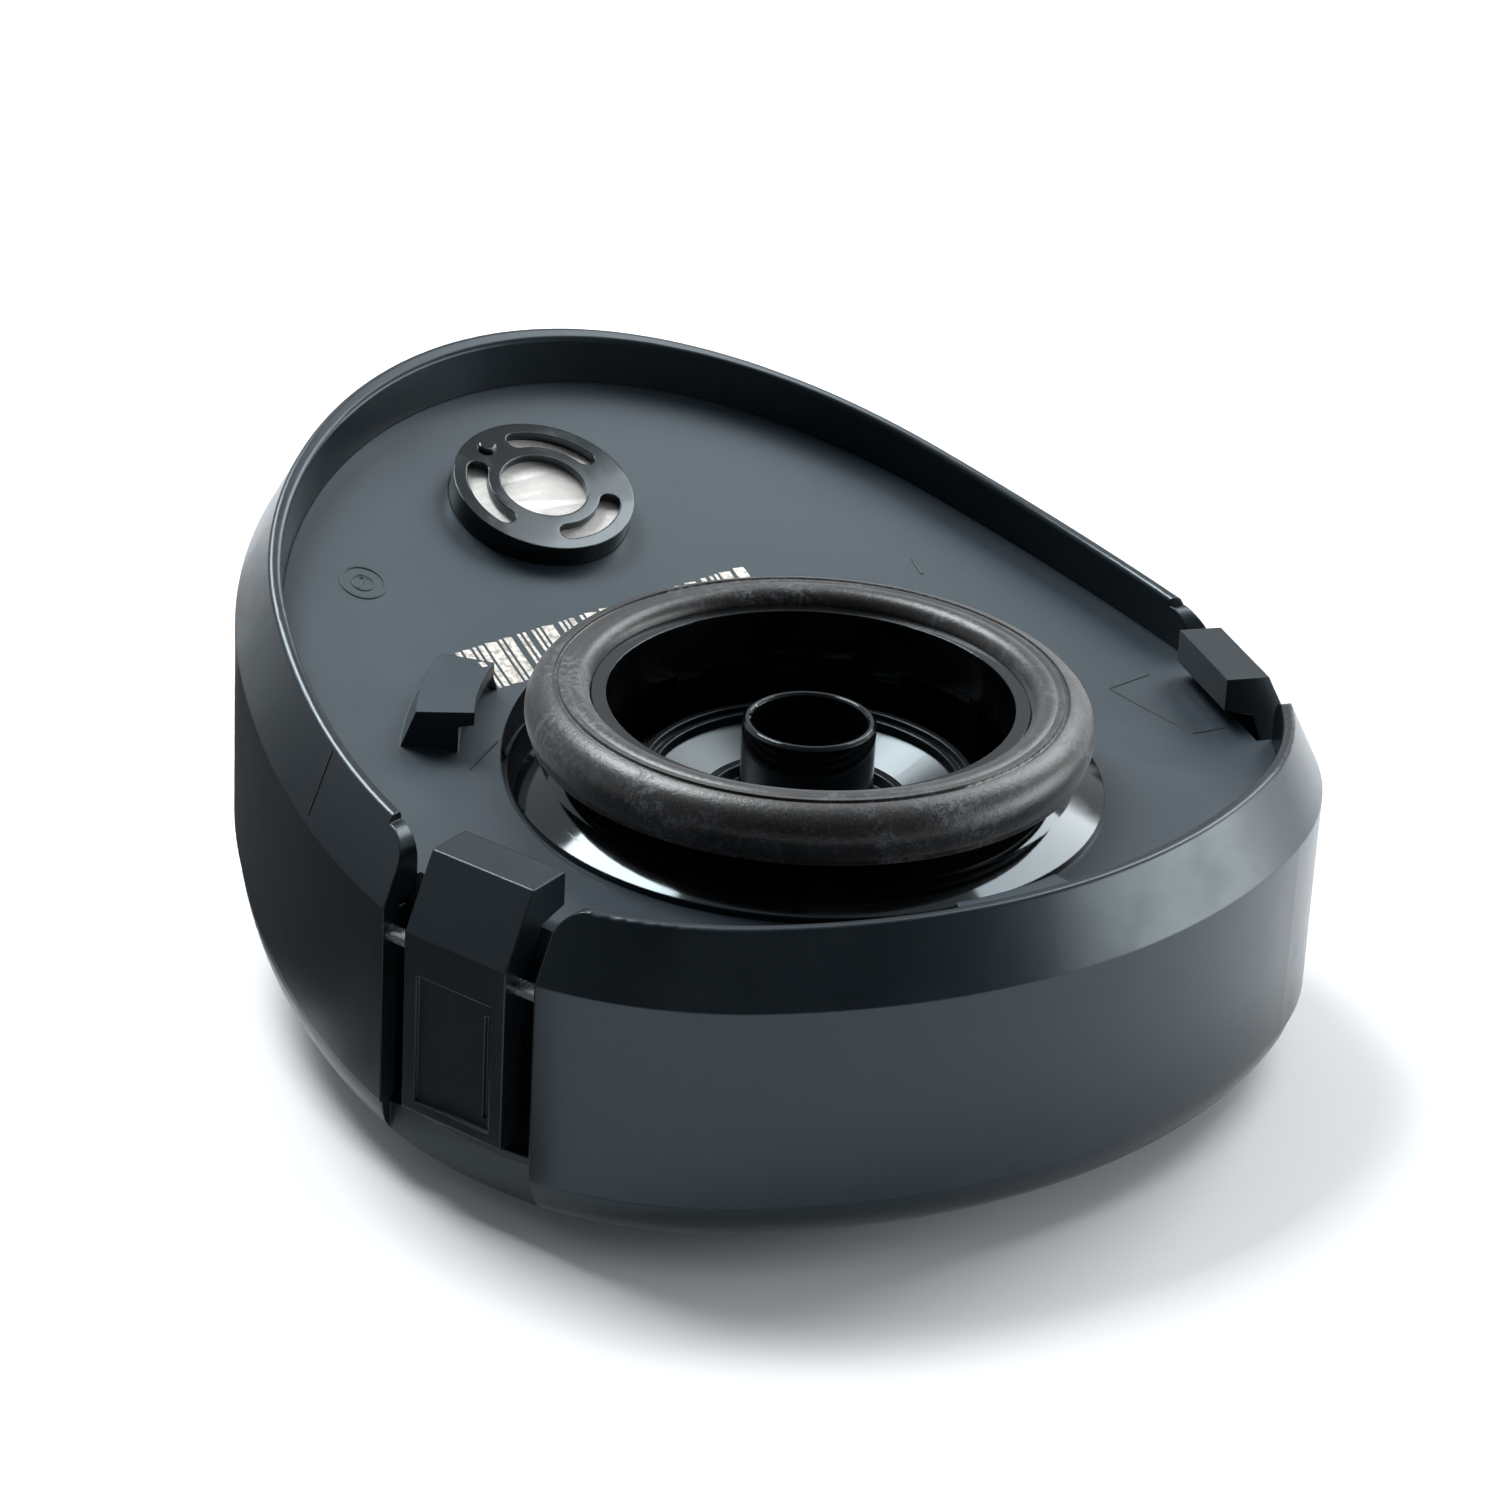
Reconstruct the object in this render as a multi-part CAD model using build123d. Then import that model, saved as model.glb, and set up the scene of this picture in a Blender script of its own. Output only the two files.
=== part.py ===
from build123d import *
import math
import os

# Conformal respirator filter canister.  It stands on the flat of its inlet grille, mask side up.
# Millimetres, +Z up.  The origin lies on the neck axis, on the plane that the canister stands on.
# +Y points to the narrow end, where the body curves up to follow the wearer's cheek.

# ---- plan outline: tangent arcs about a centre line beside the neck axis
CENTRE_X = 3.7        # centre line of the outline, from the neck axis
FAR_R = 50.0          # narrow end
FAR_Y = 22.0
SIDE_R = 100.0
HALF_WIDTH = 53.9
CORNER_R = 39.0
CORNER_TURN = 2.5     # degrees past the widest place, where the corner arc starts
END_R = 70.0          # blunt end

# ---- the bend along Y that every level of the body follows
BEND_R = 183.0
BEND_Y = -12.0        # the body is flat on the blunt side of this

# ---- levels at the neck
PLATE = 31.0          # top of the base plate
RIM = PLATE + 5.25
CHAMFER_EDGE = PLATE - 1.95
SEAM = PLATE - 23.6
COVER_FLAT = 2.5      # outer face of the cover around the grille

# ---- shells
RIM_INSET = 3.6       # lean of the chamfer band
RIM_WALL = 1.2
RIM_EDGE_R = 0.5
SKIRT_WALL = 2.2
COVER_INSET = 0.4
COVER_WALL = 2.0
COVER_EDGE_R = 4.6
DOME_START_R = 36.0   # the cover starts to fall away here
DOME_EASE = 0.35
HOUSING_INSET = 2.5
HOUSING_WALL = 1.6
PLATE_T = 2.0
PLATE_INSET = RIM_INSET + RIM_WALL
FLANGE_T = 1.5        # edge of the base plate, under the skirt
SEAL_W = 1.4
SEAT_R = 31.2         # flat seat of the neck flange in the bent plate
SEAT_WALL = 1.5

# ---- latches, one on each long side
LATCH_Y = -8.8
LATCH_REACH = 52.3    # outer wall from the centre line, at the latch
LATCH_TURN = 16.7     # degrees that each latch faces toward the blunt end
NOTCH_W = 20.0
NOTCH_DEPTH = 3.0     # how far the notch sinks into the cover
POCKET_W = 27.0
POCKET_DEPTH = 9.5
POCKET_FLOOR = PLATE - 22.6
POCKET_AIR = 0.2
LEVER_W = 12.6
LEVER_T = 3.2
LEVER_LOW = PLATE - 21.6
LEVER_BEVEL = PLATE - 2.2
LEVER_TOP = PLATE + 5.6
BEAK_RIDGE = 4.2      # inward from the wall
BEAK_BACK = 9.0
BEAK_UNDER = PLATE + 2.0
PIN_R = 0.85
PIN_IN = 2.7          # pin axis, inward from the wall
PIN_Z = PLATE - 4.5
PIN_CLEAR = 0.05
PIN_LENGTH = NOTCH_W + 2.8
BOSS_W = 2.0
BOSS_IN = 4.7
KNUCKLE_R = 2.0
PANEL_DEPTH = 0.4
LEVER_ROOM = 6.8      # how far in from the wall the plate is cut for a lever
NOTCH_CORNER_R = 3.0
WIRE_R = 0.28
COIL_R = 1.25
COIL_TURNS = 3
COIL_PITCH = 0.8
SPRING_ROOM = 4.2
DOWN_LEG = 6.0
UP_LEG = 1.9

# ---- neck on the mask side
NECK_BORE = 20.8
NECK_R = 22.3
NECK_TOP = PLATE + 9.6
NECK_LOW = PLATE - 7.5
FLANGE_R = 30.5
NECK_FLOOR_T = 1.2
WINDOW_COUNT = 12
WINDOW_W = 7.6
WINDOW_SINK = 1.0      # depth of the recess above each window
WINDOW_TOP = PLATE + 3.7
GASKET_R = 29.0
GASKET_MID = PLATE + 7.9
TUBE_R = 6.85
TUBE_BORE = 5.95
TUBE_TOP = PLATE + 7.2
FOOT_R = 7.3          # the tube's foot, in the dish
FOOT_TOP = PLATE - 2.0
DISH_R = 17.3

# ---- inlet grille on the outer side
GRILLE_R = 38.9
GRILLE_FACE_R = 33.8
GRILLE_FLAT_R = 26.3
GRILLE_FACE_Z = 1.2
GRILLE_T = 2.0
GRILLE_RIM_T = 1.6
GRILLE_LEDGE = 3.0
SEAT_AIR = 0.1
TRAY_H = 2.2
HUB_R = 5.85
SLOT_RINGS = ((14.1, 16.7), (18.4, 21.0), (22.7, 25.4))
WINDOW_RING = (8.7, 12.2)
SPOKE_W = 2.4
SECTORS = 8
BAYONET_IN = 25.2
BAYONET_ARC = 29.3
BAYONET_OUT = 33.2
BAYONET_HALF = 38.0   # degrees each side of +Y and -Y
ENTRY_ARC = 17.0      # degrees of each entry pocket

# ---- filter layers, each between two levels that follow the bend
LAYER_INSET = 6.4
SCREEN_TOP = PLATE - 7.5
SCREEN_T = 0.6
CARBON_T = 9.0
PAD_T = 1.2
MEDIA_T = 5.6
MEDIA_TOP = SCREEN_TOP - 2 * SCREEN_T - CARBON_T - PAD_T
MEDIA_FRAME_W = 3.0
PLEAT_PITCH = 4.0
PLEAT_WALL = 0.8

# ---- end-of-service indicator near the narrow end
INDICATOR_X = 0.9
INDICATOR_Y = 51.0
INDICATOR_R = 10.0
INDICATOR_H = 2.8
INDICATOR_CAP = 0.9
INDICATOR_SLOTS = (52, 172, 292)
SLOT_R = 7.35
SLOT_W = 2.3
SLOT_HALF = 31        # degrees each side of a slot's middle
RIVET_ANGLE = 112
WINDOW_R = 4.8
RIVET_R = 0.7
RIVET_OUT = 7.9       # from the middle of the indicator

# ---- bayonet lugs on the base plate: centre and half angle in degrees
LUGS = ((137.0, 10.2), (268.5, 10.2))
LUG_IN = 34.0
LUG_OUT = 40.7
LUG_H = 3.3
LUG_UNDERCUT = 1.6


def bend(y):
    """Height of the bend at y."""
    run = max(y - BEND_Y, 0.0)
    return BEND_R - math.sqrt(BEND_R**2 - run**2)


def slope(y):
    """Slope of the bend at y, in degrees."""
    return math.degrees(math.asin(max(y - BEND_Y, 0.0) / BEND_R))


# ---- plan outline -------------------------------------------------------------------------
side_x = HALF_WIDTH - SIDE_R
side_y = FAR_Y - math.sqrt((SIDE_R - FAR_R) ** 2 - side_x**2)
turn = math.radians(CORNER_TURN)
corner_x = side_x + (SIDE_R - CORNER_R) * math.cos(turn)
corner_y = side_y - (SIDE_R - CORNER_R) * math.sin(turn)
end_y = corner_y + math.sqrt((END_R - CORNER_R) ** 2 - corner_x**2)
far_angle = math.degrees(math.atan2(FAR_Y - side_y, -side_x))
end_angle = math.degrees(math.atan2(end_y - corner_y, corner_x))


def plan(inset):
    """Face of the plan outline, every edge moved inward by inset."""
    corner_arc = end_angle - CORNER_TURN
    arcs = [
        CenterArc((0, FAR_Y), FAR_R - inset, far_angle, 180 - 2 * far_angle),
        CenterArc((0, end_y), END_R - inset, end_angle - 180, 180 - 2 * end_angle),
        CenterArc((side_x, side_y), SIDE_R - inset, -CORNER_TURN, far_angle + CORNER_TURN),
        CenterArc((-side_x, side_y), SIDE_R - inset, 180 - far_angle, far_angle + CORNER_TURN),
        CenterArc((corner_x, corner_y), CORNER_R - inset, -end_angle, corner_arc),
        CenterArc((-corner_x, corner_y), CORNER_R - inset, 180 + CORNER_TURN, corner_arc),
    ]
    return Pos(CENTRE_X, 0) * make_face(arcs)


def bent_slab(low, high):
    """Everything between two levels that follow the bend."""
    y0, y1, wide = -60.0, 90.0, 80.0
    ym = (BEND_Y + y1) / 2

    def curve(level):
        flat = Line((y0, level), (BEND_Y, level))
        mid = (ym, level + bend(ym))
        return [flat, ThreePointArc((BEND_Y, level), mid, (y1, level + bend(y1)))]

    ends = [Line((y0, low), (y0, high)), Line((y1, low + bend(y1)), (y1, high + bend(y1)))]
    profile = make_face(curve(low) + curve(high) + ends)
    return extrude(Plane.YZ * profile, amount=wide, both=True)


def layer(inset, low, high):
    """A slice of the outline that follows the bend."""
    prism = Pos(0, 0, -20) * extrude(plan(inset), amount=100)
    return prism & bent_slab(low, high)


# ---- the cover's outer surface: flat about the grille, falling away to the bent edge --------
def dome_level(x, y):
    """Level of the outer surface of the cover."""
    r = max(math.hypot(x, y), 1e-6)
    along = y / r
    reach = HALF_WIDTH + CENTRE_X * x / r + (FAR_Y - CORNER_TURN - 1.4) * max(along, 0.0) ** 2
    out = max(r - DOME_START_R, 0.0) / (reach - DOME_START_R)
    return COVER_FLAT + bend(reach * along) * out**2 * (1 + DOME_EASE) / (out + DOME_EASE)


def below_dome(lift):
    """Everything under the cover's surface, raised by lift."""
    step = 6.5
    xs = [-60.0 + step * i for i in range(21)]
    ys = [-54.0 + step * j for j in range(22)]
    grid = [[Vector(x, y, dome_level(x, y) + lift) for y in ys] for x in xs]
    surface = Face.make_surface_from_array_of_points(grid, tol=0.02, min_deg=3, max_deg=3)
    return extrude(surface, amount=60, dir=(0, 0, -1))


# ---- building blocks ------------------------------------------------------------------------
def block(x0, x1, y0, y1, z0, z1):
    return Pos((x0 + x1) / 2, (y0 + y1) / 2, (z0 + z1) / 2) * Box(x1 - x0, y1 - y0, z1 - z0)


def disc(r, z0, z1):
    return Pos(0, 0, (z0 + z1) / 2) * Cylinder(r, z1 - z0)


def annulus(r_in, r_out, z0, z1):
    return disc(r_out, z0, z1) - disc(r_in, z0 - 1, z1 + 1)


def turned(points):
    """Solid of revolution about Z from (radius, level) points."""
    return revolve(Plane.XZ * make_face(Polyline(*points, close=True)), Axis.Z)


def sector(r_in, r_out, centre, half):
    """Face of an annular sector, angles in degrees."""

    def at(r, angle):
        return (r * math.cos(math.radians(angle)), r * math.sin(math.radians(angle)))

    sides = [Line(at(r_in, a), at(r_out, a)) for a in (centre - half, centre + half)]
    arcs = [CenterArc((0, 0), r, centre - half, 2 * half) for r in (r_in, r_out)]
    return make_face(sides + arcs)


def rod_along_y(x, z, r, length):
    return Pos(x, 0, z) * Rot(90, 0, 0) * Cylinder(r, length)


# ---- latch frames: X outward, Y along the wall, origin on the outer wall at the latch ------
def at_latch(side, shape):
    turn_z = -LATCH_TURN if side > 0 else 180 + LATCH_TURN
    return Pos(CENTRE_X + side * LATCH_REACH, LATCH_Y, 0) * Rot(0, 0, turn_z) * shape


def latch_boxes(width, depth, low, high):
    """A box sunk into the outer wall at each latch."""
    box = block(-depth, 12, -width / 2, width / 2, low, high)
    return at_latch(1, box) + at_latch(-1, box)


def latch_room(margin=0.0):
    """The two latch pockets with their walls, a little air and a margin."""
    out = HOUSING_WALL + POCKET_AIR + margin
    return latch_boxes(POCKET_W + 2 * out, POCKET_DEPTH + out, POCKET_FLOOR - 5, PLATE + 30)


# ============================ shells =========================================================
def outer_cover():
    body = layer(COVER_INSET, -30, SEAM) - below_dome(0)

    def on_shoulder(edge):
        middle = edge @ 0.5
        return middle.Z < SEAM - 2 + bend(middle.Y) and abs((edge % 0.5).Z) < 0.9

    body = fillet(body.edges().filter_by(on_shoulder), COVER_EDGE_R)
    wall = COVER_WALL
    inside = layer(COVER_INSET + wall, -30, SEAM + 5) - below_dome(wall)
    notch = latch_boxes(NOTCH_W, NOTCH_DEPTH, -5, SEAM + 5)
    notch_wall = latch_boxes(NOTCH_W + 2 * wall, NOTCH_DEPTH + wall, -5, SEAM + 6)
    shell = (body - notch) - (inside - notch_wall)
    lip = block(-NOTCH_DEPTH - wall - 0.2, 0.1 - NOTCH_DEPTH, -12.2, 12.2, SEAM, SEAM + 9)
    shell = shell - at_latch(1, lip) - at_latch(-1, lip)
    seat = disc(GRILLE_R + SEAT_AIR, -2, COVER_FLAT + GRILLE_RIM_T)
    return shell - seat - disc(GRILLE_R - GRILLE_LEDGE, -2, 9)


def skirt_shell():
    body = layer(0, SEAM, RIM)

    def on_rim(edge):
        middle = edge @ 0.5
        return abs(middle.Z - RIM - bend(middle.Y)) < 1.5 and abs(edge.length - 103) > 2

    rim = body.edges().filter_by(on_rim)
    body = chamfer(rim, length=RIM - CHAMFER_EDGE, length2=RIM_INSET)
    body -= layer(SKIRT_WALL, SEAM - 2, PLATE - PLATE_T)
    body -= layer(PLATE_INSET, PLATE - PLATE_T - 1, RIM + 5)
    body = fillet(body.edges().filter_by(on_rim), RIM_EDGE_R)
    half, r = NOTCH_W / 2, NOTCH_CORNER_R
    low, high = SEAM - 2, RIM + 30
    gap = [Line((half, RIM - r), (half, low)), Line((half, low), (-half, low)),
           Line((-half, low), (-half, RIM - r)),
           ThreePointArc((-half, RIM - r), (-half - 0.293 * r, RIM - 0.293 * r), (-half - r, RIM)),
           Line((-half - r, RIM), (-half - r, high)), Line((-half - r, high), (half + r, high)),
           Line((half + r, high), (half + r, RIM)),
           ThreePointArc((half + r, RIM), (half + 0.293 * r, RIM - 0.293 * r), (half, RIM - r))]
    gap = Pos(2, 0, 0) * extrude(Plane.YZ * make_face(gap), amount=12, both=True)
    hole = rod_along_y(-PIN_IN, PIN_Z, PIN_R, PIN_LENGTH)
    for side in (1, -1):
        body -= at_latch(side, gap)
        for end in (1, -1):
            y0, y1 = sorted((end * NOTCH_W / 2, end * (NOTCH_W / 2 + BOSS_W)))
            body += at_latch(side, block(-BOSS_IN, -1.9, y0, y1, PIN_Z - 3.2, PLATE - PLATE_T))
        body -= at_latch(side, hole)
    return body


def inner_housing():
    top, low = PLATE - PLATE_T - FLANGE_T, SEAM - 2.5
    wall = HOUSING_WALL
    pocket = latch_boxes(POCKET_W, POCKET_DEPTH, POCKET_FLOOR, top + 40)
    pocket_wall = latch_boxes(
        POCKET_W + 2 * wall, POCKET_DEPTH + wall, POCKET_FLOOR - wall, top + 40)
    outside = layer(HOUSING_INSET, low, top) - pocket
    inside = layer(HOUSING_INSET + wall, low - 2, top + 2) - pocket_wall
    under_notch = latch_boxes(NOTCH_W + 2 * COVER_WALL + 0.4, NOTCH_DEPTH + COVER_WALL + 0.2,
                              low - 5, SEAM + 0.05)
    return outside - inside - under_notch


def base_plate():
    plate = layer(PLATE_INSET, PLATE - PLATE_T, PLATE)
    flange = layer(HOUSING_INSET, PLATE - PLATE_T - FLANGE_T, PLATE - PLATE_T)
    flange -= latch_boxes(POCKET_W, LEVER_ROOM, PLATE - 9, PLATE - PLATE_T + 2)
    plate += flange
    plate -= latch_boxes(NOTCH_W, LEVER_ROOM, PLATE - 9, PLATE + 9)
    plate -= disc(SEAT_R, PLATE, PLATE + 20)
    cup = annulus(SEAT_R, SEAT_R + SEAT_WALL, PLATE - PLATE_T, PLATE + 10)
    cup &= bent_slab(PLATE - 20, PLATE)
    plate += cup
    plate += annulus(NECK_R, SEAT_R + SEAT_WALL, PLATE - PLATE_T, PLATE)
    plate -= disc(NECK_R, PLATE - 30, PLATE + 30)
    plate -= at_indicator(disc(INDICATOR_R, -12, 12))
    for centre, half in LUGS:
        plate += lug(centre, half)
    return plate


def lug(centre, half):
    """Hook that overhangs toward the neck and slopes away behind."""
    middle = (LUG_IN + LUG_OUT) / 2
    top = PLATE + bend(middle * math.sin(math.radians(centre))) + LUG_H
    root = PLATE - PLATE_T + bend(LUG_IN * math.sin(math.radians(centre))) + 0.6
    profile = [(LUG_IN, top), (LUG_OUT - 0.8, top), (LUG_OUT + 1.2, root),
               (LUG_IN + LUG_UNDERCUT, root), (LUG_IN + LUG_UNDERCUT, top - 1.7),
               (LUG_IN, top - 1.4)]
    ring = revolve(Plane.XZ * make_face(Polyline(*profile, close=True)), Axis.Z, 2 * half)
    return (Rot(0, 0, centre - half) * ring) & layer(PLATE_INSET + 0.2, PLATE - 9, PLATE + 20)


def perimeter_seal():
    top = PLATE - PLATE_T - FLANGE_T
    inset = HOUSING_INSET + HOUSING_WALL
    ring = layer(inset, top - SEAL_W, top) - layer(inset + SEAL_W, top - 9, top + 9)
    around_pockets = layer(inset, top - SEAL_W, top) & latch_room(SEAL_W)
    return ring + around_pockets - latch_room()


# ============================ neck ===========================================================
def neck_outlet():
    p = PLATE
    body = turned([
        (TUBE_BORE, NECK_LOW), (NECK_R, NECK_LOW), (NECK_R, p), (FLANGE_R, p),
        (FLANGE_R, p + 0.7), (27.2, p + 2.3), (24.0, p + 4.5), (NECK_R + 0.9, p + 4.9),
        (NECK_R, p + 5.2), (NECK_R, NECK_TOP), (NECK_BORE, NECK_TOP),
        (NECK_BORE, NECK_LOW + NECK_FLOOR_T), (TUBE_BORE, NECK_LOW + NECK_FLOOR_T),
    ])
    half, sill = WINDOW_W / 2, NECK_LOW + NECK_FLOOR_T
    window = block(NECK_BORE - 2, NECK_R + 2, -half, half, sill, PLATE - PLATE_T - 0.8)
    window += block(NECK_BORE - 2, NECK_BORE + WINDOW_SINK, -half, half, sill, WINDOW_TOP)
    pitch = 360 / WINDOW_COUNT
    for k in range(WINDOW_COUNT):
        body -= Rot(0, 0, pitch * (k + 0.5)) * window
    return body


def neck_gasket():
    mid = (NECK_R + 0.05 + GASKET_R) / 2
    half = GASKET_R - mid
    band = Pos(mid, GASKET_MID - 0.2) * Circle(half)
    crest = Pos(mid - 1.5, GASKET_MID + 1.5) * Circle(1.75)
    lip = Pos(mid + 1.3, GASKET_MID - 2.3) * Rectangle(2.9, 0.5)
    section = band + crest + lip
    section -= Pos(mid + 0.25, GASKET_MID + 3.05) * Circle(0.3)
    section &= Pos(mid, GASKET_MID + 0.4) * Rectangle(2 * half, 2 * half)
    return revolve(Plane.XZ * section, Axis.Z)


def valve_tube():
    floor = NECK_LOW + NECK_FLOOR_T
    return turned([
        (TUBE_BORE, floor), (FOOT_R, floor), (FOOT_R, FOOT_TOP), (TUBE_R, FOOT_TOP),
        (TUBE_R, TUBE_TOP - 0.35),
        (TUBE_R - 0.35, TUBE_TOP), (TUBE_BORE + 0.25, TUBE_TOP), (TUBE_BORE, TUBE_TOP - 0.25),
    ])


def valve_dish():
    p = PLATE
    return turned([
        (FOOT_R, p - 3.4), (9.9, p - 3.4), (9.9, p - 2.0), (10.9, p - 2.0), (11.3, p - 2.7),
        (15.6, p - 0.6), (15.6, p + 0.5), (16.2, p + 0.5), (16.2, p + 0.1), (16.6, p + 0.1),
        (16.6, p + 0.9), (DISH_R, p + 0.9), (DISH_R, p - 1.2), (12.2, p - 4.4), (FOOT_R, p - 4.4),
    ])


# ============================ inlet grille ===================================================
def inlet_grille():
    t = GRILLE_T
    rim = COVER_FLAT + GRILLE_RIM_T
    web = turned([
        (HUB_R, 0), (GRILLE_FLAT_R, 0), (GRILLE_FACE_R, GRILLE_FACE_Z), (GRILLE_R, COVER_FLAT),
        (GRILLE_R, rim), (GRILLE_FACE_R, rim), (GRILLE_FLAT_R, t), (HUB_R + 2, t),
        (HUB_R + 2, t + 2), (HUB_R, t + 2),
    ])
    pitch = 360 / SECTORS
    cuts = []
    for k in range(SECTORS):
        centre = pitch * (k + 0.5)
        beside_bayonet = min(abs(centre - 90), abs(centre - 270)) < pitch
        for r_in, r_out in SLOT_RINGS[:2] if beside_bayonet else SLOT_RINGS:
            r, w = (r_in + r_out) / 2, r_out - r_in
            half = pitch / 2 - math.degrees((SPOKE_W + w) / 2 / r)
            cuts.append(SlotArc(CenterArc((0, 0), r, centre - half, 2 * half), w))
        r_in, r_out = WINDOW_RING
        half = pitch / 2 - math.degrees(SPOKE_W / (r_in + r_out))
        cuts.append(sector(r_in, r_out, centre, half))
    for centre in (90, 270):
        cuts.append(sector(BAYONET_IN, BAYONET_ARC, centre, BAYONET_HALF))
        for side in (1, -1):
            middle = centre + side * (BAYONET_HALF - ENTRY_ARC / 2)
            cuts.append(sector(BAYONET_IN, BAYONET_OUT, middle, ENTRY_ARC / 2))
    for cut in cuts:
        web -= Pos(0, 0, -2) * extrude(cut, amount=12)
    return web


def bayonet_tray():
    """Closed channel behind the accessory slots."""
    z0 = COVER_FLAT + GRILLE_RIM_T
    out = GRILLE_R - GRILLE_LEDGE - 0.2
    ring = annulus(BAYONET_IN - 1.2, out, z0, z0 + TRAY_H)
    return ring - annulus(BAYONET_IN - 0.2, out - 1.0, z0 - 1, z0 + TRAY_H - 0.8)


def inlet_screen():
    z0 = GRILLE_T + 0.6
    sheet = annulus(HUB_R + 2.1, BAYONET_IN - 1.4, z0, z0 + 0.4)
    for ring, count in ((11.0, 16), (14.0, 21), (17.0, 26), (20.0, 31)):
        for hole in PolarLocations(ring, count):
            sheet -= Pos(0, 0, z0) * hole * Cylinder(0.9, 2)
    return sheet


# ============================ filter layers ==================================================
def filter_layer(top, thickness):
    slice_ = layer(LAYER_INSET, top - thickness, top)
    return slice_ - latch_room() - disc(NECK_R + 0.3, NECK_LOW - 0.3, PLATE + 30)


def media_frame():
    low = MEDIA_TOP - MEDIA_T
    ring = filter_layer(MEDIA_TOP, MEDIA_T) - layer(LAYER_INSET + MEDIA_FRAME_W, low - 5, 90)
    return ring + (filter_layer(MEDIA_TOP, MEDIA_T) & latch_room(MEDIA_FRAME_W))


def pleated_media():
    low, high = MEDIA_TOP - MEDIA_T, MEDIA_TOP - PLEAT_WALL
    count = int(110 / PLEAT_PITCH * 2)
    under, over = [], []
    for i in range(count):
        y = -38.0 + i * PLEAT_PITCH / 2
        z = (high if i % 2 else low) + bend(y)
        under.append((y, z))
        over.append((y, z + PLEAT_WALL))
    zigzag = make_face(Polyline(*under, *reversed(over), close=True))
    sheet = extrude(Plane.YZ * zigzag, amount=80, both=True)
    inset = LAYER_INSET + MEDIA_FRAME_W
    return (sheet & layer(inset, low - 5, MEDIA_TOP + 5)) - latch_room(MEDIA_FRAME_W)


# ============================ end-of-service indicator =======================================
def at_indicator(shape):
    place = Pos(INDICATOR_X, INDICATOR_Y, PLATE + bend(INDICATOR_Y))
    return place * Rot(slope(INDICATOR_Y), 0, 0) * shape


def indicator_housing():
    top, cap = INDICATOR_H, INDICATOR_CAP
    body = disc(INDICATOR_R, -PLATE_T, top) - disc(INDICATOR_R - 1.0, -PLATE_T - 1, top - cap)
    body -= disc(WINDOW_R, -5, 9)
    for centre in INDICATOR_SLOTS:
        slot = SlotArc(CenterArc((0, 0), SLOT_R, centre - SLOT_HALF, 2 * SLOT_HALF), SLOT_W)
        body -= Pos(0, 0, -1) * extrude(slot, amount=9)
    body -= at_rivet(disc(RIVET_R, -9, 9))
    return at_indicator(body)


def at_rivet(shape):
    angle = math.radians(RIVET_ANGLE)
    return Pos(RIVET_OUT * math.cos(angle), RIVET_OUT * math.sin(angle)) * shape


def indicator_rivet():
    head = disc(RIVET_R + 0.35, INDICATOR_H, INDICATOR_H + 0.45)
    head = fillet(head.edges().group_by(Axis.Z)[-1], 0.3)
    shank = disc(RIVET_R, INDICATOR_H - INDICATOR_CAP, INDICATOR_H + 0.1)
    return at_indicator(at_rivet(head + shank))


# ============================ latches ========================================================
def latch_lever():
    low, bevel, top = LEVER_LOW, LEVER_BEVEL, LEVER_TOP
    outline = [
        (-0.3, low), (-0.3, bevel), (-BEAK_RIDGE, top - 0.2), (-BEAK_BACK, top),
        (-BEAK_BACK, BEAK_UNDER), (-5.7, BEAK_UNDER - 0.9), (-4.5, PLATE - 2.4),
        (-LEVER_T, PLATE - 6.4), (-LEVER_T, low),
    ]
    face = Plane.XZ * make_face(Polyline(*outline, close=True))
    body = extrude(face, amount=LEVER_W / 2, both=True)
    body += rod_along_y(-PIN_IN, PIN_Z, KNUCKLE_R, LEVER_W)
    half = LEVER_W / 2
    body -= block(-9, -2.0, -half + 1.4, half - 1.4, low + 1.6, PIN_Z - 4.0)
    body -= block(-0.3 - PANEL_DEPTH, 1, -half + 1.6, half - 1.6, low + 1.2, PIN_Z - 1.9)
    body -= block(-0.3 - 2 * PANEL_DEPTH, 1, half - 2.6, half - 2.0, low + 2.4, PIN_Z - 3.4)
    body -= block(-9, COIL_R + WIRE_R + 0.1 - PIN_IN, -SPRING_ROOM / 2, SPRING_ROOM / 2,
                  PIN_Z - 4.2, PIN_Z + 1.9)
    return body - rod_along_y(-PIN_IN, PIN_Z, PIN_R + PIN_CLEAR, LEVER_W + 2)


def latch_pin():
    return rod_along_y(-PIN_IN, PIN_Z, PIN_R, PIN_LENGTH)


def latch_spring():
    """Coil about the pin, with a long leg down the lever and a short leg up."""
    width = COIL_TURNS * COIL_PITCH
    path = Helix(pitch=COIL_PITCH, height=width, radius=COIL_R)
    coil = sweep(Plane(path @ 0, z_dir=path % 0) * Circle(WIRE_R), path=path, is_frenet=True)
    coil = Pos(-PIN_IN, width / 2, PIN_Z) * Rot(90, 0, 0) * Rot(0, 0, 180) * coil
    x = -PIN_IN - COIL_R
    leg_r = WIRE_R - 0.02
    down = Pos(x, -width / 2, PIN_Z + 0.3 - DOWN_LEG / 2) * Cylinder(leg_r, DOWN_LEG)
    up = Pos(x, width / 2, PIN_Z - 0.3 + UP_LEG / 2) * Cylinder(leg_r, UP_LEG)
    return coil + down + up


# ============================ write the sub-parts ============================================
def save(name, shape):
    export_step(shape, f"parts/{name}.step")


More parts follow.
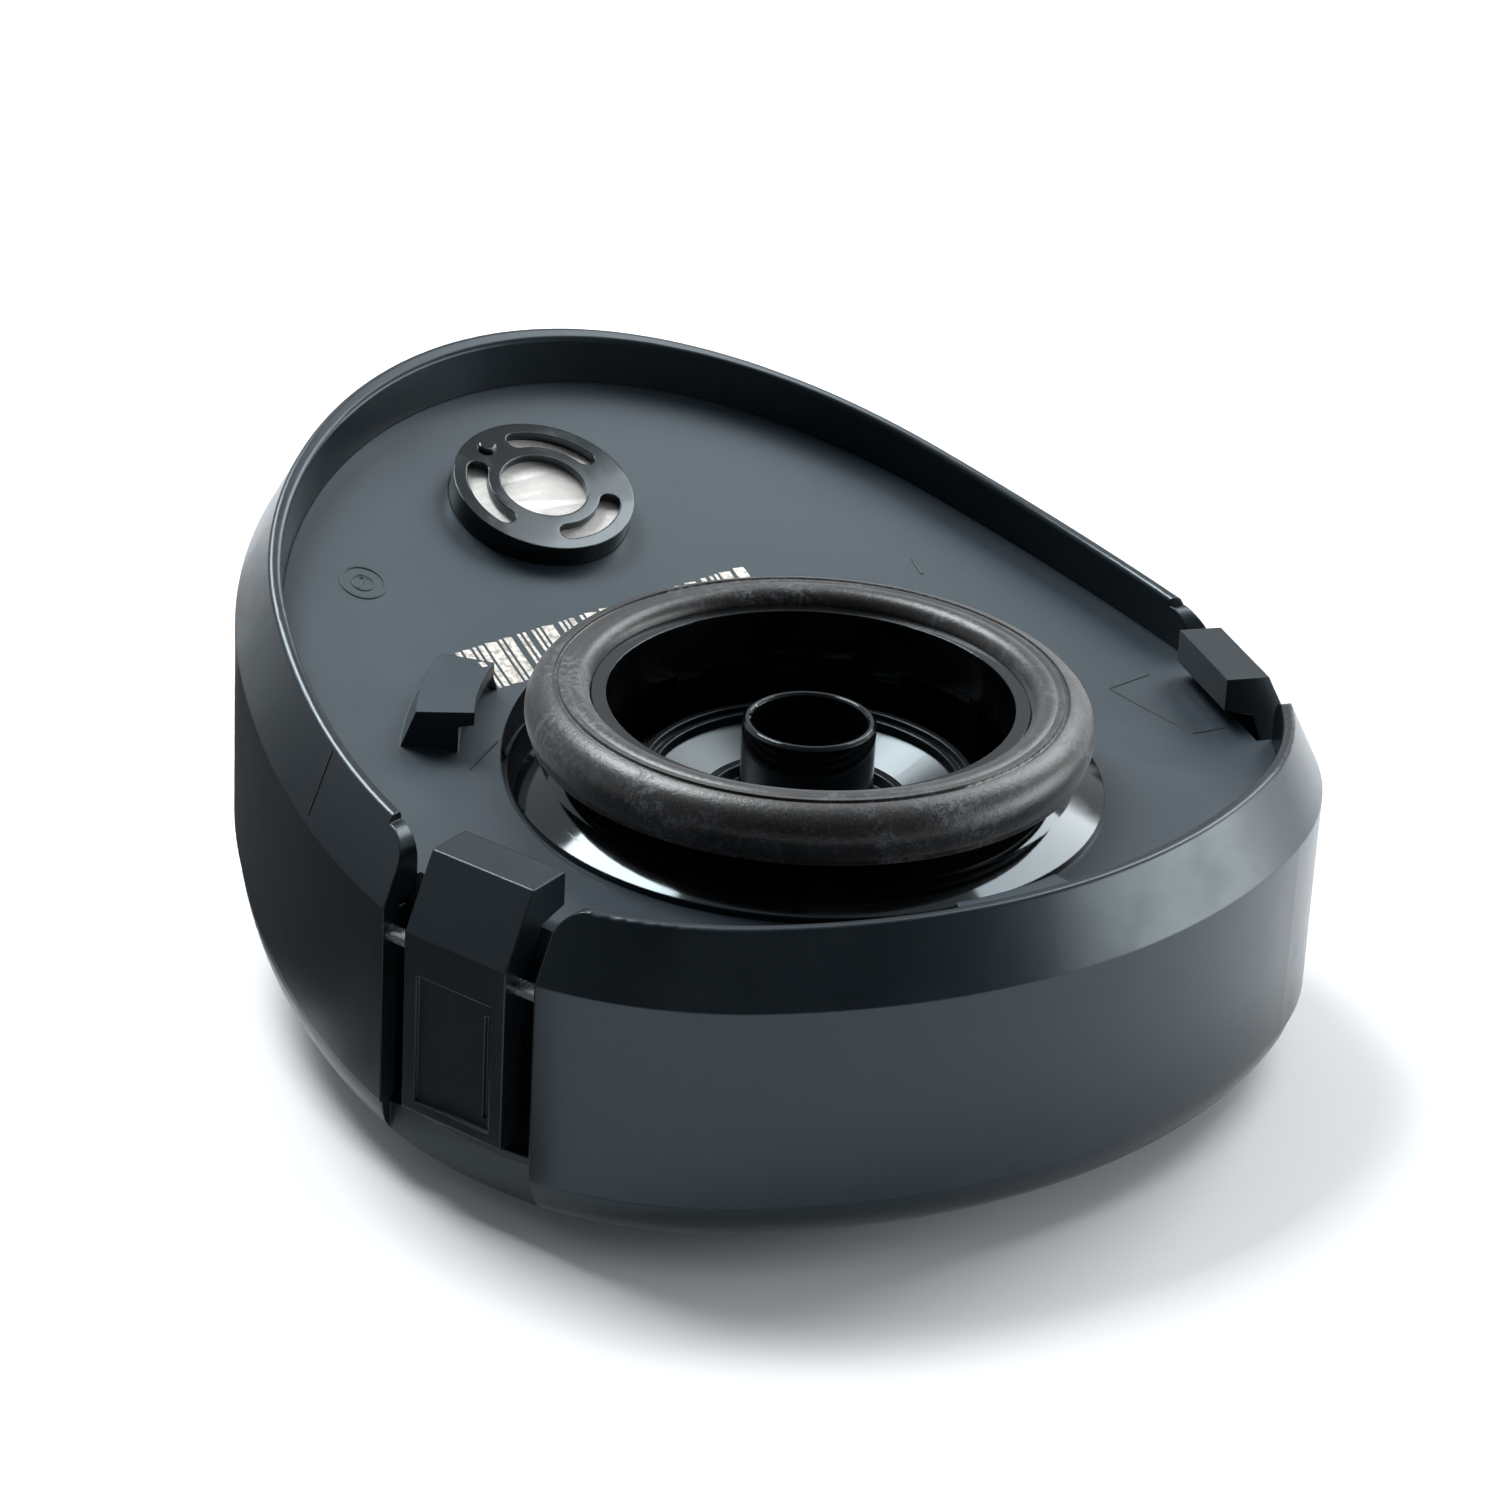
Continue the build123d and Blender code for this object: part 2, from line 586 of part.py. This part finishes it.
def main():
    os.makedirs("parts", exist_ok=True)
    carbon_top = SCREEN_TOP - SCREEN_T
    lower_screen_top = carbon_top - CARBON_T
    pad_top = lower_screen_top - SCREEN_T
    save("outer_cover", outer_cover())
    skirts = skirt_shell().solids().sort_by(Axis.Y)
    save("blunt_end_skirt", skirts[0])
    save("narrow_end_skirt", skirts[-1])
    save("inner_housing", inner_housing())
    save("base_plate", base_plate())
    save("perimeter_seal", perimeter_seal())
    save("neck_outlet", neck_outlet())
    save("neck_gasket", neck_gasket())
    save("valve_tube", valve_tube())
    save("valve_dish", valve_dish())
    save("inlet_grille", inlet_grille())
    save("bayonet_tray", bayonet_tray())
    save("inlet_screen", inlet_screen())
    save("mask_side_screen", filter_layer(SCREEN_TOP, SCREEN_T))
    save("carbon_bed", filter_layer(carbon_top, CARBON_T))
    save("inlet_side_screen", filter_layer(lower_screen_top, SCREEN_T))
    save("compression_pad", filter_layer(pad_top, PAD_T))
    save("pleated_media", pleated_media())
    save("media_frame", media_frame())
    save("indicator_housing", indicator_housing())
    save("indicator_rivet", indicator_rivet())
    cap_under = INDICATOR_H - INDICATOR_CAP
    paper_top = cap_under - 0.4
    save("indicator_window", at_indicator(disc(INDICATOR_R - 4.4, paper_top, cap_under)))
    save("indicator_disc", at_indicator(disc(INDICATOR_R - 1.2, paper_top - 0.6, paper_top)))
    save("indicator_seal", at_indicator(annulus(7.4, INDICATOR_R - 1.1, -1.6, paper_top - 0.6)))
    for side, word in ((1, "right"), (-1, "left")):
        save(f"{word}_latch_lever", at_latch(side, latch_lever()))
        save(f"{word}_latch_pin", at_latch(side, latch_pin()))
        save(f"{word}_latch_spring", at_latch(side, latch_spring()))


if __name__ == "__main__":
    main()
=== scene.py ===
import math
import random

import bpy
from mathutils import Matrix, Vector
from mathutils.bvhtree import BVHTree


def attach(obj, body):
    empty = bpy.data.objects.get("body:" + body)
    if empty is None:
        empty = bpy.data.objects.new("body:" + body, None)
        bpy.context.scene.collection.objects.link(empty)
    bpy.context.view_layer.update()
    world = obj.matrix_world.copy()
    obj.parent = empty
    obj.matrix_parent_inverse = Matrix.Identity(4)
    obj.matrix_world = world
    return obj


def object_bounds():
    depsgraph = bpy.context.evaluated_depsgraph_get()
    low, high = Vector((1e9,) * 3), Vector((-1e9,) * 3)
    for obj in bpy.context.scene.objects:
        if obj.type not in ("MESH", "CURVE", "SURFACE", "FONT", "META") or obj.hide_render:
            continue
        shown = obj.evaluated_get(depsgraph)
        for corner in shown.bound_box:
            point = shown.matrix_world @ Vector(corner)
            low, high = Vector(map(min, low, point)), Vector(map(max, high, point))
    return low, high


# A conformal respirator filter canister, mask side up on a pale studio floor.
# Metres, in the frame of the CAD model: +Z up, +Y to the narrow end, origin under the neck.

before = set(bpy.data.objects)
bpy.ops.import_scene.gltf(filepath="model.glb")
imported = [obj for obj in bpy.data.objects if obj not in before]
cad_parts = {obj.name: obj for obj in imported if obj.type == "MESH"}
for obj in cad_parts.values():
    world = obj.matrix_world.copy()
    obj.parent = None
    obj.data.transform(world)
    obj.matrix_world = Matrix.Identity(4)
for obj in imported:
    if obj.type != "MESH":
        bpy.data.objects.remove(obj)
cad_low, cad_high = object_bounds()
MM = 0.001
STATIC = "canister"

# ---- black plastics: clean and worn colour, linear
SHELL_BLACK = ((0.0045, 0.0072, 0.0102), (0.0090, 0.0125, 0.0165))
PLATE_BLACK = ((0.0160, 0.0235, 0.0315), (0.0240, 0.0330, 0.0420))
INNER_BLACK = ((0.0040, 0.0048, 0.0058), (0.0080, 0.0090, 0.0105))
GRILLE_BLACK = ((0.0040, 0.0050, 0.0062), (0.0085, 0.0098, 0.0115))
POLISHED_BLACK = (0.0022, 0.0024, 0.0028)
COOL = (0.78, 0.93, 1.0, 1.0)     # cast of their gloss
DUST = (0.30, 0.30, 0.31)

# ---- fibres: face and shade colour, linear
SCREEN_WHITE = ((0.86, 0.86, 0.84), (0.58, 0.58, 0.57))
MEDIA_WHITE = ((0.88, 0.88, 0.86), (0.66, 0.66, 0.65))
PAD_GREY = ((0.42, 0.42, 0.41), (0.22, 0.22, 0.22))
INDICATOR_WHITE = ((0.90, 0.89, 0.86), (0.74, 0.73, 0.70))

# ---- marks on the CAD surfaces, in millimetres
BARS_X = (-21.5, 17.0)            # the row of bars
BARS_LOW_Y = (26.9, 28.5)         # its two long sides, at each end of the row
BARS_HIGH_Y = (33.6, 35.5)
BAR_LEAN = 0.5
BAR_WIDTHS = (0.35, 0.35, 0.6, 0.9, 1.35)
BAR_GAPS = (0.35, 0.35, 0.55, 0.8)
CLOCK_X, CLOCK_Y = -24.4, 46.3
PLATE_LINES = (                   # start, end and width
    ((-30.4, 16.2), (-19.8, 22.4), 0.22),
    ((40.6, 0.6), (46.5, 1.0), 0.14),
    ((40.6, 0.6), (42.0, -11.7), 0.14),
    ((42.0, -11.7), (46.0, -12.4), 0.14),
    ((35.8, 27.4), (36.5, 30.2), 0.4),
)
RIM_LINES = (
    ((-45.6, 18.2), (-48.7, 17.6), 0.16),
    ((52.9, 20.4), (55.7, 19.9), 0.16),
)

# ---- studio
PHOTO_EYE = Vector((-0.290, -0.3715, 0.2683))
PHOTO_AIM = Vector((-0.0613, 0.015, 0.031))
OBJECT_MIDDLE = (cad_low + cad_high) / 2
LENS = 124.0
SENSOR = 36.0
FLOOR_HALF = 4.0
LIGHT_DISTANCE = 0.9
LIGHT_AIM = (0, 0, 0.03)
SOFT_WHITE = (0.96, 0.985, 1.0)
SKY = (0.93, 0.965, 1.0, 1.0)
SKY_DARK, SKY_PALE = 0.05, 0.70   # strength behind the camera and elsewhere


# ============================ materials ======================================================
class Surface:
    """A Principled material that follows the object's own coordinates."""

    def __init__(self, name, **constants):
        self.material = bpy.data.materials.new(name)
        self.material.use_nodes = True
        self.tree = self.material.node_tree
        self.shader = self.tree.nodes["Principled BSDF"]
        self.place = self.tree.nodes.new("ShaderNodeTexCoord").outputs["Object"]
        self.normal = None
        for socket, value in constants.items():
            self.shader.inputs[socket.replace("_", " ")].default_value = value

    def node(self, kind, **settings):
        made = self.tree.nodes.new(kind)
        for key, value in settings.items():
            setattr(made, key, value)
        return made

    def link(self, output, target):
        self.tree.links.new(output, target)

    def stretched(self, stretch, turn=0.0):
        mapping = self.node("ShaderNodeMapping")
        mapping.inputs["Scale"].default_value = stretch
        mapping.inputs["Rotation"].default_value = (0, 0, math.radians(turn))
        self.link(self.place, mapping.inputs["Vector"])
        return mapping.outputs["Vector"]

    def noise(self, per_metre, detail=3.0, stretch=None, turn=0.0, roughness=0.5, distortion=0.0):
        noise = self.node("ShaderNodeTexNoise")
        noise.inputs["Scale"].default_value = per_metre
        noise.inputs["Detail"].default_value = detail
        noise.inputs["Roughness"].default_value = roughness
        noise.inputs["Distortion"].default_value = distortion
        self.link(self.stretched(stretch, turn) if stretch else self.place, noise.inputs["Vector"])
        return noise.outputs["Fac"]

    def cells(self, per_metre):
        cells = self.node("ShaderNodeTexVoronoi")
        cells.inputs["Scale"].default_value = per_metre
        self.link(self.place, cells.inputs["Vector"])
        return cells.outputs["Distance"]

    def between(self, value, low, high, to_low=0.0, to_high=1.0):
        ranged = self.node("ShaderNodeMapRange", interpolation_type="SMOOTHSTEP")
        for socket, number in zip(("From Min", "From Max", "To Min", "To Max"),
                                  (low, high, to_low, to_high)):
            ranged.inputs[socket].default_value = number
        self.link(value, ranged.inputs["Value"])
        return ranged.outputs["Result"]

    def maths(self, operation, first, second):
        node = self.node("ShaderNodeMath", operation=operation)
        for socket, value in zip(node.inputs, (first, second)):
            if isinstance(value, (int, float)):
                socket.default_value = value
            else:
                self.link(value, socket)
        return node.outputs[0]

    def mix(self, factor, first, second):
        node = self.node("ShaderNodeMix", data_type="RGBA")
        self.link(factor, node.inputs[0])
        for socket, value in ((node.inputs[6], first), (node.inputs[7], second)):
            if isinstance(value, tuple):
                socket.default_value = (*value, 1.0)
            else:
                self.link(value, socket)
        return node.outputs[2]

    def soften_edges(self, radius):
        bevel = self.node("ShaderNodeBevel", samples=6)
        bevel.inputs["Radius"].default_value = radius
        self.normal = bevel.outputs["Normal"]

    def bump(self, height, strength, distance):
        bump = self.node("ShaderNodeBump")
        bump.inputs["Strength"].default_value = strength
        bump.inputs["Distance"].default_value = distance
        self.link(height, bump.inputs["Height"])
        if self.normal:
            self.link(self.normal, bump.inputs["Normal"])
        self.normal = bump.outputs["Normal"]

    def finish(self, colour, roughness):
        if isinstance(colour, tuple):
            self.shader.inputs["Base Color"].default_value = (*colour, 1.0)
        else:
            self.link(colour, self.shader.inputs["Base Color"])
        if isinstance(roughness, float):
            self.shader.inputs["Roughness"].default_value = roughness
        else:
            self.link(roughness, self.shader.inputs["Roughness"])
        if self.normal:
            self.link(self.normal, self.shader.inputs["Normal"])
        return self.material


def moulded_plastic(name, colour, worn, smooth, rough, streak_turn):
    """Black moulded plastic: fine grain, soft handling marks, faint streaks and a little dust."""
    s = Surface(name, IOR=1.5, Specular_Tint=COOL)
    s.soften_edges(0.28 * MM)
    marks = s.between(s.noise(55, 5, roughness=0.62), 0.42, 0.72)
    streaks = s.between(s.noise(900, 3, stretch=(0.06, 1.0, 0.4), turn=streak_turn), 0.5, 0.78)
    wear = s.maths("MAXIMUM", s.maths("MULTIPLY", marks, 0.55), s.maths("MULTIPLY", streaks, 0.35))
    dust = s.between(s.cells(650), 0.055, 0.02)
    dusty = s.maths("MULTIPLY", dust, s.between(s.noise(240, 2), 0.6, 0.68))
    tone = s.mix(wear, colour, worn)
    tone = s.mix(s.maths("MULTIPLY", dusty, 0.5), tone, DUST)
    s.bump(s.noise(5200, 2), 0.16, 0.03 * MM)
    s.bump(s.noise(700, 3), 0.05, 0.08 * MM)
    return s.finish(tone, s.between(wear, 0.0, 0.8, smooth, rough))


def gloss_plastic(name, colour, smooth, rough):
    """Polished black plastic with hairline marks and a slight wave."""
    s = Surface(name, IOR=1.52, Specular_Tint=COOL)
    s.soften_edges(0.22 * MM)
    haze = s.between(s.noise(130, 4), 0.45, 0.7)
    hairs = s.between(s.noise(2600, 2, stretch=(1.0, 0.05, 0.3), turn=35), 0.62, 0.8)
    s.bump(s.noise(90, 2), 0.05, 0.2 * MM)
    s.bump(hairs, 0.05, 0.01 * MM)
    return s.finish(s.mix(haze, colour, tuple(2.2 * c for c in colour)),
                    s.between(s.maths("MAXIMUM", haze, hairs), 0.0, 1.0, smooth, rough))


def gasket_rubber():
    """Soft black rubber, bloomed and dusty in patches, with a fine pitted skin."""
    s = Surface("gasket_rubber_bloomed", IOR=1.48, Sheen_Weight=0.25, Sheen_Roughness=0.45)
    s.soften_edges(0.2 * MM)
    bloom = s.between(s.noise(110, 5, roughness=0.65, distortion=0.6), 0.42, 0.62)
    specks = s.between(s.noise(1300, 3, roughness=0.75), 0.44, 0.64)
    dust = s.maths("MULTIPLY", s.between(s.noise(4200, 2), 0.52, 0.62),
                   s.between(bloom, 0.0, 1.0, 0.35, 1.0))
    tone = s.mix(s.maths("MULTIPLY", bloom, specks),
                 (0.0060, 0.0062, 0.0068), (0.060, 0.064, 0.070))
    tone = s.mix(s.maths("MULTIPLY", dust, 0.30), tone, (0.13, 0.135, 0.14))
    s.bump(s.noise(1300, 4, roughness=0.7), 0.5, 0.10 * MM)
    s.bump(s.noise(4200, 2), 0.35, 0.04 * MM)
    return s.finish(tone, s.between(s.maths("MULTIPLY", bloom, specks), 0.0, 1.0, 0.34, 0.55))


def plain_rubber():
    """Dull black rubber with a little grain."""
    s = Surface("seal_rubber_matt")
    s.bump(s.noise(2500, 3), 0.3, 0.04 * MM)
    return s.finish(s.mix(s.noise(400, 3), (0.02, 0.02, 0.02), (0.06, 0.06, 0.06)), 0.7)


def fibre_sheet(name, colour, shade, per_metre, depth):
    """Non-woven or paper: crossed fibres with soft clumps."""
    s = Surface(name, IOR=1.4)
    one_way = s.noise(per_metre, 4, stretch=(1.0, 0.12, 1.0), turn=20, distortion=0.8)
    other_way = s.noise(per_metre, 4, stretch=(0.12, 1.0, 1.0), turn=-25, distortion=0.8)
    fibres = s.maths("MAXIMUM", one_way, other_way)
    s.bump(fibres, 0.6, depth)
    return s.finish(s.mix(s.between(fibres, 0.45, 0.75), shade, colour), 0.85)


def carbon_granules():
    """Loose black grains."""
    s = Surface("carbon_granules")
    s.bump(s.cells(1100), 1.0, 0.4 * MM)
    return s.finish(s.mix(s.noise(1500, 2), (0.01, 0.01, 0.01), (0.04, 0.04, 0.042)), 0.6)


def steel(name, colour, smooth, rough):
    """Steel with fine drawing lines."""
    s = Surface(name, Metallic=1.0)
    drawn = s.noise(3500, 3, stretch=(0.1, 1.0, 1.0), turn=16)
    s.bump(drawn, 0.1, 0.01 * MM)
    return s.finish(s.mix(drawn, tuple(0.7 * c for c in colour), colour),
                    s.between(drawn, 0.3, 0.7, smooth, rough))


def clear_window():
    """Thin clear film, slightly wavy and smudged."""
    s = Surface("indicator_window_clear", IOR=1.46, Alpha=0.14)
    s.bump(s.noise(300, 2), 0.05, 0.05 * MM)
    return s.finish((0.95, 0.95, 0.93), s.between(s.noise(500, 3), 0.4, 0.7, 0.03, 0.16))


def printed_ink():
    """Cream ink, worn thin in places."""
    s = Surface("bar_ink_cream", IOR=1.45)
    worn = s.between(s.noise(1500, 4, roughness=0.7), 0.36, 0.6)
    s.bump(s.noise(3000, 2), 0.2, 0.02 * MM)
    return s.finish(s.mix(worn, (0.32, 0.29, 0.26), (0.72, 0.68, 0.62)), 0.6)


SHELL = moulded_plastic("shell_black_satin", *SHELL_BLACK, 0.28, 0.40, 12)
PLATE = moulded_plastic("plate_black_satin", *PLATE_BLACK, 0.44, 0.56, -8)
INNER = moulded_plastic("inner_black_matt", *INNER_BLACK, 0.42, 0.55, 40)
GRILLE = moulded_plastic("grille_black_satin", *GRILLE_BLACK, 0.30, 0.42, 70)
GLOSS = gloss_plastic("moulding_black_gloss", POLISHED_BLACK, 0.07, 0.15)
SCREEN = fibre_sheet("screen_white_fibre", *SCREEN_WHITE, 2600, 0.08 * MM)
MEDIA = fibre_sheet("media_white_paper", *MEDIA_WHITE, 1500, 0.05 * MM)
PAD = fibre_sheet("pad_grey_felt", *PAD_GREY, 900, 0.2 * MM)
PAPER = fibre_sheet("indicator_white_paper", *INDICATOR_WHITE, 2200, 0.03 * MM)
PIN_STEEL = steel("pin_steel_satin", (0.62, 0.62, 0.63), 0.22, 0.38)
SPRING_STEEL = steel("spring_steel_drawn", (0.55, 0.55, 0.56), 0.25, 0.4)
FINISHES = {
    SHELL: ("outer_cover", "blunt_end_skirt", "narrow_end_skirt",
            "left_latch_lever", "right_latch_lever"),
    PLATE: ("base_plate",),
    INNER: ("inner_housing", "bayonet_tray", "media_frame"),
    GRILLE: ("inlet_grille", "valve_dish"),
    GLOSS: ("neck_outlet", "valve_tube", "indicator_housing", "indicator_rivet"),
    gasket_rubber(): ("neck_gasket",),
    plain_rubber(): ("perimeter_seal", "indicator_seal"),
    SCREEN: ("inlet_screen", "mask_side_screen", "inlet_side_screen"),
    MEDIA: ("pleated_media",),
    PAD: ("compression_pad",),
    PAPER: ("indicator_disc",),
    carbon_granules(): ("carbon_bed",),
    clear_window(): ("indicator_window",),
    PIN_STEEL: ("left_latch_pin", "right_latch_pin"),
    SPRING_STEEL: ("left_latch_spring", "right_latch_spring"),
}
for finish, nodes in FINISHES.items():
    for node in nodes:
        for material_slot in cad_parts[node].material_slots:
            material_slot.material = finish


# ============================ marks on the CAD surfaces =======================================
def surface_of(node):
    """Looks a CAD node's surface up from above: drop(x, y) gives its height."""
    tree = BVHTree.FromObject(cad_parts[node], bpy.context.evaluated_depsgraph_get())

    def drop(x, y):
        hit = tree.ray_cast(Vector((x, y, cad_high.z + 0.01)), Vector((0, 0, -1)))[0]
        return hit.z
    return drop


def laid_strip(left, right, height, drop, closed=False):
    """Vertices and faces of a low solid strip between two rows of (x, y) points on a surface."""
    count = len(left)
    verts = []
    for (lx, ly), (rx, ry) in zip(left, right):
        low_l, low_r = drop(lx, ly), drop(rx, ry)
        verts += [(lx, ly, low_l - height), (lx, ly, low_l + height),
                  (rx, ry, low_r + height), (rx, ry, low_r - height)]
    faces = []
    for i in range(count if closed else count - 1):
        a, b = 4 * i, 4 * ((i + 1) % count)
        faces += [(a + k, a + (k + 1) % 4, b + (k + 1) % 4, b + k) for k in range(4)]
    if not closed:
        end = 4 * (count - 1)
        faces += [(3, 2, 1, 0), (end, end + 1, end + 2, end + 3)]
    return verts, faces


def piece_from(name, strips, material):
    """One piece made of strips, which rides on the canister."""
    verts, faces = [], []
    for strip_verts, strip_faces in strips:
        start = len(verts)
        verts += strip_verts
        faces += [tuple(start + i for i in face) for face in strip_faces]
    mesh = bpy.data.meshes.new(name)
    mesh.from_pydata(verts, [], faces)
    mesh.materials.append(material)
    piece = bpy.data.objects.new(name, mesh)
    bpy.context.scene.collection.objects.link(piece)
    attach(piece, STATIC)


def line_strip(start, end, width, height, drop, steps=6):
    """A straight strip, all in millimetres."""
    ax, ay, bx, by = (number * MM for number in (*start, *end))
    width, height = width * MM, height * MM
    length = math.hypot(bx - ax, by - ay)
    nx, ny = -(by - ay) / length * width / 2, (bx - ax) / length * width / 2
    left, right = [], []
    for i in range(steps + 1):
        t = i / steps
        x, y = ax + (bx - ax) * t, ay + (by - ay) * t
        left.append((x + nx, y + ny))
        right.append((x - nx, y - ny))
    return laid_strip(left, right, height, drop)


def ring_strip(centre, radius, width, height, drop, steps=48):
    """A round strip, all in millimetres."""
    turns = [2 * math.pi * i / steps for i in range(steps)]
    rows = [[((centre[0] + r * math.cos(t)) * MM, (centre[1] + r * math.sin(t)) * MM)
             for t in turns] for r in (radius - width / 2, radius + width / 2)]
    return laid_strip(*rows, height * MM, drop, closed=True)


on_plate = surface_of("base_plate")


def bars():
    """A row of plain printed bars, of random widths and with no meaning."""
    draw = random.Random(7)
    strips = []
    x, end = BARS_X
    while x < end:
        wide = draw.choice(BAR_WIDTHS)
        across = (x - BARS_X[0]) / (BARS_X[1] - BARS_X[0])
        low_y, high_y = (side[0] + (side[1] - side[0]) * across
                         for side in (BARS_LOW_Y, BARS_HIGH_Y))
        middle = x + wide / 2
        strips.append(line_strip((middle - BAR_LEAN, low_y), (middle + BAR_LEAN, high_y),
                                 wide, 0.02, on_plate))
        x += wide + draw.choice(BAR_GAPS)
    piece_from("bar_print", strips, printed_ink())


def date_clock():
    """Two moulded rings with a pointer, as tools leave on a part."""
    x, y = CLOCK_X, CLOCK_Y
    tip = (x + 0.8, y + 0.6)
    strips = [ring_strip((x, y), 2.35, 0.22, 0.09, on_plate),
              ring_strip((x, y), 1.15, 0.18, 0.07, on_plate),
              line_strip((x - 0.9, y - 0.5), tip, 0.22, 0.09, on_plate),
              line_strip((x + 0.1, y + 0.75), tip, 0.2, 0.09, on_plate)]
    piece_from("date_clock", strips, PLATE)


def plate_marks():
    """Low moulded lines: a rib beside the neck, a faint panel by the right latch, and a pointer."""
    strips = [line_strip(start, end, wide, 0.07, on_plate) for start, end, wide in PLATE_LINES]
    piece_from("plate_marks", strips, PLATE)


def rim_marks():
    """Parting lines that run down the chamfer from the rim, one on each long side."""
    on_skirt = surface_of("narrow_end_skirt")
    strips = [line_strip(start, end, wide, 0.16, on_skirt) for start, end, wide in RIM_LINES]
    piece_from("rim_marks", strips, SHELL)


bars()
date_clock()
plate_marks()
rim_marks()


# ============================ floor, light and camera ========================================
def studio_floor():
    """Pale floor that can be seen through from below and lets the light from below pass."""
    mesh = bpy.data.meshes.new("floor")
    half = FLOOR_HALF
    corners = [(-half, -half, 0), (half, -half, 0), (half, half, 0), (-half, half, 0)]
    mesh.from_pydata(corners, [], [(0, 1, 2, 3)])
    floor = bpy.data.objects.new("floor", mesh)
    bpy.context.scene.collection.objects.link(floor)
    s = Surface("floor_white", IOR=1.45)
    white = s.finish((0.86, 0.87, 0.885), 0.6)
    clear = s.node("ShaderNodeBsdfTransparent")
    behind = s.node("ShaderNodeNewGeometry").outputs["Backfacing"]
    shadow = s.node("ShaderNodeLightPath").outputs["Is Shadow Ray"]
    mixer = s.node("ShaderNodeMixShader")
    s.link(s.maths("MAXIMUM", behind, shadow), mixer.inputs[0])
    s.link(s.shader.outputs[0], mixer.inputs[1])
    s.link(clear.outputs[0], mixer.inputs[2])
    s.link(mixer.outputs[0], s.tree.nodes["Material Output"].inputs["Surface"])
    mesh.materials.append(white)


def softbox(name, place, aim, size, power, colour):
    """A soft rectangular light that faces its aim."""
    light = bpy.data.lights.new(name, "AREA")
    light.shape = "RECTANGLE"
    light.size, light.size_y = size
    light.energy = power
    light.color = colour
    box = bpy.data.objects.new(name, light)
    box.location = place
    box.rotation_mode = "QUATERNION"
    box.rotation_quaternion = (Vector(aim) - Vector(place)).to_track_quat("-Z", "Y")
    bpy.context.scene.collection.objects.link(box)


def toward(azimuth, elevation):
    """A light's place in that direction from the origin, in degrees counted from +X."""
    a, e = math.radians(azimuth), math.radians(elevation)
    out = LIGHT_DISTANCE * math.cos(e)
    return (out * math.cos(a), out * math.sin(a), LIGHT_DISTANCE * math.sin(e))


def studio_world():
    """Pale all round, and darker on the side that the camera stands on."""
    world = bpy.data.worlds.new("studio")
    bpy.context.scene.world = world
    world.use_nodes = True
    nodes, links = world.node_tree.nodes, world.node_tree.links
    place = nodes.new("ShaderNodeTexCoord").outputs["Generated"]
    dot = nodes.new("ShaderNodeVectorMath")
    dot.operation = "DOT_PRODUCT"
    dot.inputs[1].default_value = (PHOTO_EYE - OBJECT_MIDDLE).normalized()
    links.new(place, dot.inputs[0])
    ramp = nodes.new("ShaderNodeMapRange")
    ramp.interpolation_type = "SMOOTHSTEP"
    for socket, value in (("From Min", 0.95), ("From Max", -0.1),
                          ("To Min", SKY_DARK), ("To Max", SKY_PALE)):
        ramp.inputs[socket].default_value = value
    links.new(dot.outputs["Value"], ramp.inputs["Value"])
    background = nodes["Background"]
    background.inputs["Color"].default_value = SKY
    links.new(ramp.outputs["Result"], background.inputs["Strength"])


def photo_camera():
    """The photograph's viewpoint and tilt, turned so that the object is in the middle."""
    camera = bpy.data.cameras.new("camera")
    camera.lens = LENS
    camera.sensor_width = SENSOR
    camera.clip_start, camera.clip_end = 0.01, 50.0
    eye = bpy.data.objects.new("camera", camera)
    eye.location = PHOTO_EYE
    eye.rotation_mode = "QUATERNION"
    first = PHOTO_AIM - PHOTO_EYE
    turn = first.rotation_difference(OBJECT_MIDDLE - PHOTO_EYE)
    eye.rotation_quaternion = turn @ first.to_track_quat("-Z", "Y")
    bpy.context.scene.collection.objects.link(eye)
    bpy.context.scene.camera = eye


def dark_flag():
    """A black card on the left, as photographers use, which only reflections see."""
    near, far, low, top = -0.056, -0.125, 0.0006, 0.042
    front, back = -0.022, 0.24
    behind_x, behind_y = -0.012, 0.088
    points = [(near, front, low), (near, 0.03, low), (behind_x, behind_y, low),
              (behind_x, back, low), (far, back, low), (far, front, low),
              (far, back, top), (far, front, top)]
    mesh = bpy.data.meshes.new("flag_left")
    mesh.from_pydata(points, [], [(0, 1, 2, 3, 4, 5), (5, 4, 6, 7)])
    flag = bpy.data.objects.new("flag_left", mesh)
    bpy.context.scene.collection.objects.link(flag)
    s = Surface("flag_black")
    mesh.materials.append(s.finish((0.02, 0.021, 0.023), 0.9))
    flag.visible_camera = flag.visible_diffuse = False
    flag.visible_shadow = flag.visible_transmission = False


studio_floor()
dark_flag()
studio_world()
softbox("softbox_back_left", toward(97, 57), LIGHT_AIM, (0.38, 0.36), 9.5, SOFT_WHITE)
softbox("softbox_right", toward(12, 42), LIGHT_AIM, (0.44, 0.54), 5.5, SOFT_WHITE)
softbox("softbox_side", toward(-34, 11), LIGHT_AIM, (0.72, 0.26), 4.6, SOFT_WHITE)
softbox("softbox_under", (0, 0, -0.6), (0, 0, 0), (0.9, 0.9), 5.0, (1, 1, 1))
photo_camera()
bpy.context.scene.view_settings.view_transform = "Standard"
bpy.context.scene.view_settings.look = "None"
